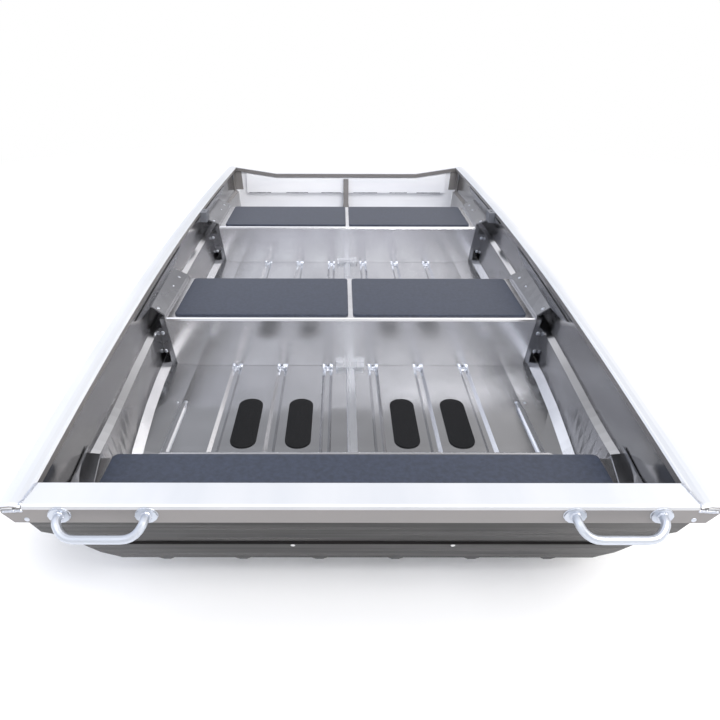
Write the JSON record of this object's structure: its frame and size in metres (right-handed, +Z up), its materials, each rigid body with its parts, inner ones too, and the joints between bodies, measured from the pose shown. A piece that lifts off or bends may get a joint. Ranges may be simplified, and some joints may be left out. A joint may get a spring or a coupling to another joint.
{
  "type": "aluminium punt",
  "caption": "Flat-bottomed square-bowed rowing and outboard punt in pressed aluminium sheet, with three padded thwarts, ribbed floor, bow grab handles and a notched transom",
  "frame": {"origin": "centre of the overall box in plan, at the level of the pressed ribs' lower faces, which is the ground that the boat stands on", "axes": "+X to port, +Y aft from the square bow to the transom, +Z up"},
  "size_m": [1.488, 3.1482, 0.3426],
  "materials": {
    "hull_aluminium": "mill finish",
    "trim_aluminium": "satin",
    "seat_pad_foam": "matte",
    "floor_pad_rubber": "matte",
    "rowlock_plastic": "matte"
  },
  "bodies": {
    "root": {"bottom_skin": "hull_aluminium", "bow_cap": "trim_aluminium", "bow_handle_port": "trim_aluminium", "bow_handle_starboard": "trim_aluminium", "bow_joiner_port": "trim_aluminium", "bow_joiner_starboard": "trim_aluminium", "bow_plate": "hull_aluminium", "floor_pad_1": "floor_pad_rubber", "floor_pad_2": "floor_pad_rubber", "floor_pad_3": "floor_pad_rubber", "floor_pad_4": "floor_pad_rubber", "front_seat": "hull_aluminium", "front_seat_bracket_port": "hull_aluminium", "front_seat_bracket_starboard": "hull_aluminium", "front_seat_pad": "seat_pad_foam", "gunwale_port": "trim_aluminium", "gunwale_starboard": "trim_aluminium", "keelson_aft": "trim_aluminium", "keelson_fore": "trim_aluminium", "keelson_tee_aft": "trim_aluminium", "keelson_tee_fore": "trim_aluminium", "middle_seat": "hull_aluminium", "middle_seat_bracket_port": "hull_aluminium", "middle_seat_bracket_starboard": "hull_aluminium", "middle_seat_pad_port": "seat_pad_foam", "middle_seat_pad_starboard": "seat_pad_foam", "motor_board": "hull_aluminium", "motor_pad": "trim_aluminium", "rear_seat": "hull_aluminium", "rear_seat_bracket_port": "hull_aluminium", "rear_seat_bracket_starboard": "hull_aluminium", "rear_seat_pad_port": "seat_pad_foam", "rear_seat_pad_starboard": "seat_pad_foam", "rowlock_port": "rowlock_plastic", "rowlock_starboard": "rowlock_plastic", "side_skin_port": "hull_aluminium", "side_skin_starboard": "hull_aluminium", "stern_corner_port": "trim_aluminium", "stern_corner_starboard": "trim_aluminium", "transom_brace": "trim_aluminium", "transom_cap": "trim_aluminium", "transom_plate": "hull_aluminium"}
  },
  "joints": []
}
